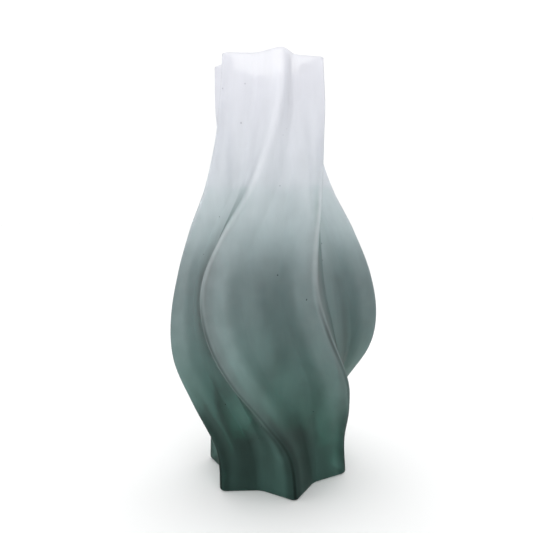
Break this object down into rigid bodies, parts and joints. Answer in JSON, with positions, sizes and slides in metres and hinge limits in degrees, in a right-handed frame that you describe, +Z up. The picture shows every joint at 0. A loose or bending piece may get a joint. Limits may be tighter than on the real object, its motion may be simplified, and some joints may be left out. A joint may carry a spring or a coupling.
{
  "type": "fluted glass vase",
  "caption": "Tall blown glass vase with a star-shaped section whose flutes sway up a round belly to a straight open neck, fading from frosted clear to dark green at the foot.",
  "frame": {"origin": "centre of the flat foot, on the surface that the vase stands on", "axes": "+Z up along the vase's axis, out of its mouth; -Y towards the side shown by the picture; +X to the right of that side"},
  "size_m": [0.1536, 0.1382, 0.3],
  "materials": {
    "etched_clear_glass": "satin, acid-etched outside",
    "green_glass": "transparent dark green, thinning upwards",
    "clear_glass": "clear, slightly hazy"
  },
  "bodies": {
    "root": {"outer_casing": "etched_clear_glass", "green_layer": "green_glass", "inner_lining": "clear_glass"}
  },
  "joints": []
}
